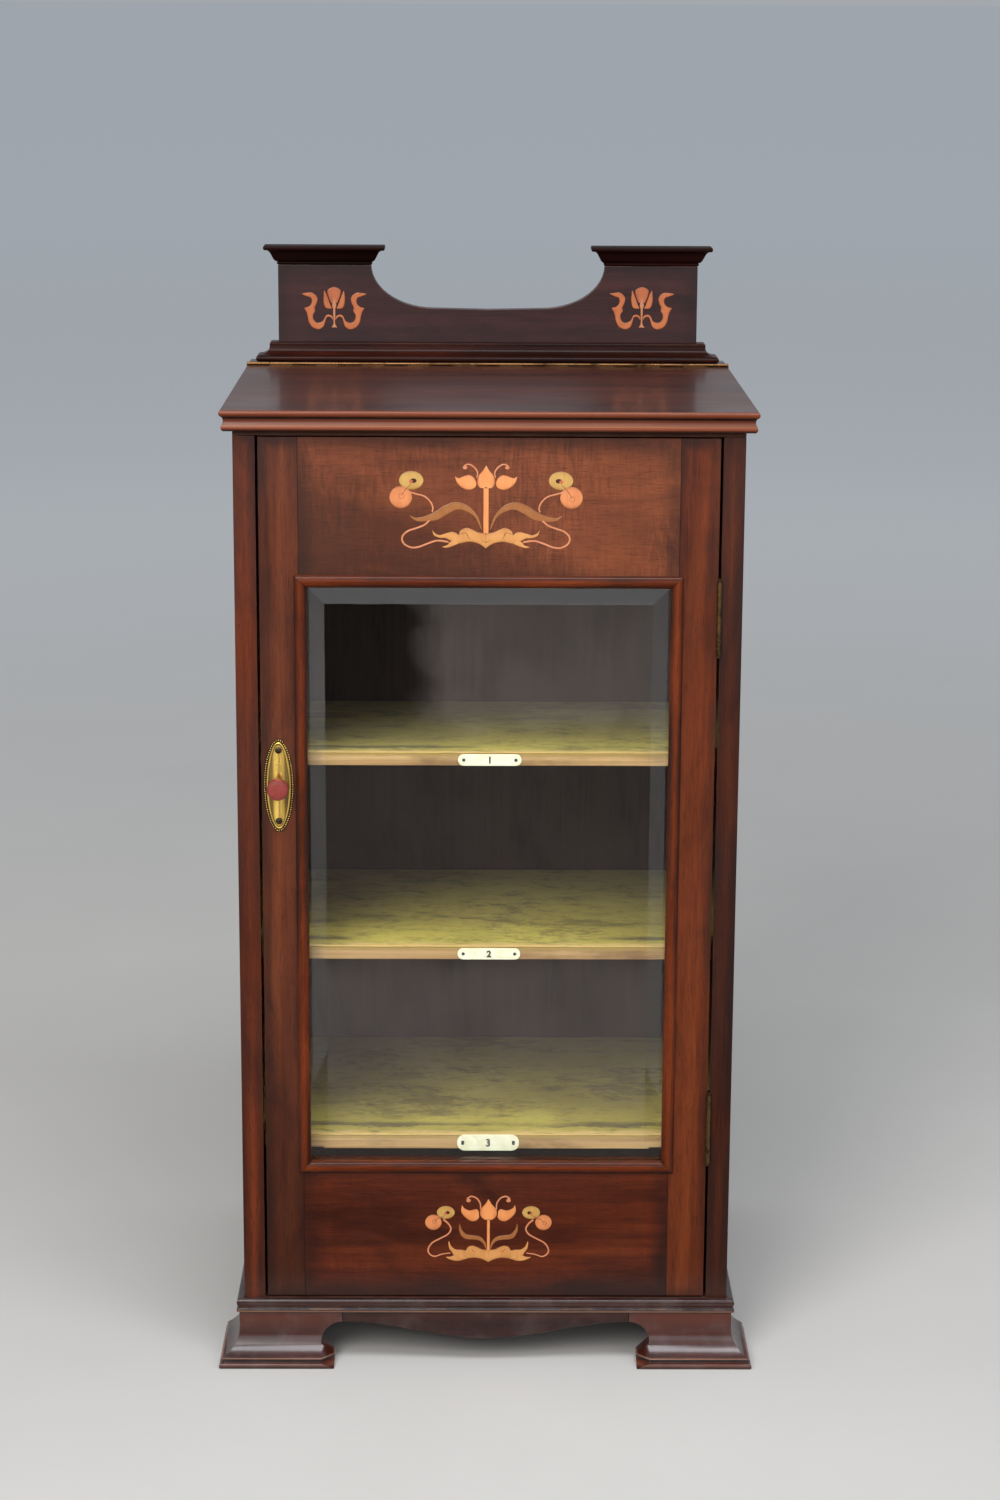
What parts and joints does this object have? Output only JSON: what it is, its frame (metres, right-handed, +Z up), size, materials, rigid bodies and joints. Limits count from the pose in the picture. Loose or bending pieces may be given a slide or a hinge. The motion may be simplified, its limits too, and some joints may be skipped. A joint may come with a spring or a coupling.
{
  "type": "sheet music cabinet",
  "caption": "Tall narrow music cabinet with a lift-up lid over a well, a glazed door, sloping lined shelves, a shaped back gallery, a moulded base and bracket feet.",
  "frame": {"origin": "on the floor, below the middle of the whole cabinet's box", "axes": "+Z up; the door faces -Y; +X is the side that carries the door's hinges"},
  "size_m": [0.56, 0.473, 1.1356],
  "materials": {
    "mahogany": "polished red-brown mahogany",
    "figured_mahogany": "polished figured mahogany with inlay",
    "polished_top": "glossy polished mahogany",
    "red_bead": "glossy stained bead",
    "pale_wood": "bare pale softwood",
    "back_board": "dull dark softwood",
    "baize": "faded and stained green baize",
    "ivory": "satin ivory-coloured celluloid",
    "brass": "aged brass",
    "terracotta": "dull terracotta-coloured composition",
    "glass": "clear bevelled plate glass"
  },
  "bodies": {
    "cabinet": {"left_side": "mahogany", "right_side": "mahogany", "bottom_board": "mahogany", "back_panel": "back_board", "well_floor": "pale_wood", "well_front": "mahogany", "sub_top_frame": "mahogany", "rear_top_rail": "polished_top", "gallery_board": "mahogany", "left_cap_mould": "mahogany", "left_cap_board": "mahogany", "right_cap_mould": "mahogany", "right_cap_board": "mahogany", "gallery_mould_front": "mahogany", "gallery_mould_left": "mahogany", "gallery_mould_right": "mahogany", "base_mould_front": "mahogany", "base_mould_left": "mahogany", "base_mould_right": "mahogany", "front_left_foot": "mahogany", "front_right_foot": "mahogany", "back_left_foot": "mahogany", "back_right_foot": "mahogany", "front_apron": "mahogany", "left_apron": "mahogany", "right_apron": "mahogany", "back_apron": "mahogany", "lower_shelf": "pale_wood", "lower_baize": "baize", "lower_label": "ivory", "middle_shelf": "pale_wood", "middle_baize": "baize", "middle_label": "ivory", "upper_shelf": "pale_wood", "upper_baize": "baize", "upper_label": "ivory", "upper_hinge_frame_leaf": "brass", "upper_hinge_pin": "brass", "lower_hinge_frame_leaf": "brass", "lower_hinge_pin": "brass", "lid_hinge_fixed_leaf": "brass", "lid_hinge_pin": "brass"},
    "lid": {"lid_board": "polished_top", "lid_hinge_moving_leaf": "brass"},
    "door": {"left_stile": "mahogany", "right_stile": "mahogany", "top_rail": "figured_mahogany", "bottom_rail": "figured_mahogany", "bevelled_glass": "glass", "glazing_bead_left": "red_bead", "glazing_bead_right": "red_bead", "glazing_bead_bottom": "red_bead", "glazing_bead_top": "red_bead", "handle_plate": "brass", "upper_hinge_door_leaf": "brass", "lower_hinge_door_leaf": "brass"},
    "latch": {"knob": "terracotta", "latch_tongue": "brass"}
  },
  "joints": [
    {"name": "lid_lift", "type": "hinge", "parent": "cabinet", "child": "lid", "pos_m": [0, 0.1738, 1.0098], "axis": [-1, 0, 0], "range_deg": [0, 104]},
    {"name": "door_swing", "type": "hinge", "parent": "cabinet", "child": "door", "pos_m": [0.2306, -0.2132, 0.5], "axis": [0, 0, 1], "range_deg": [0, 170]},
    {"name": "knob_turn", "type": "hinge", "parent": "door", "child": "latch", "pos_m": [-0.2118, -0.21, 0.6262], "axis": [0, -1, 0], "range_deg": [0, 90]}
  ]
}
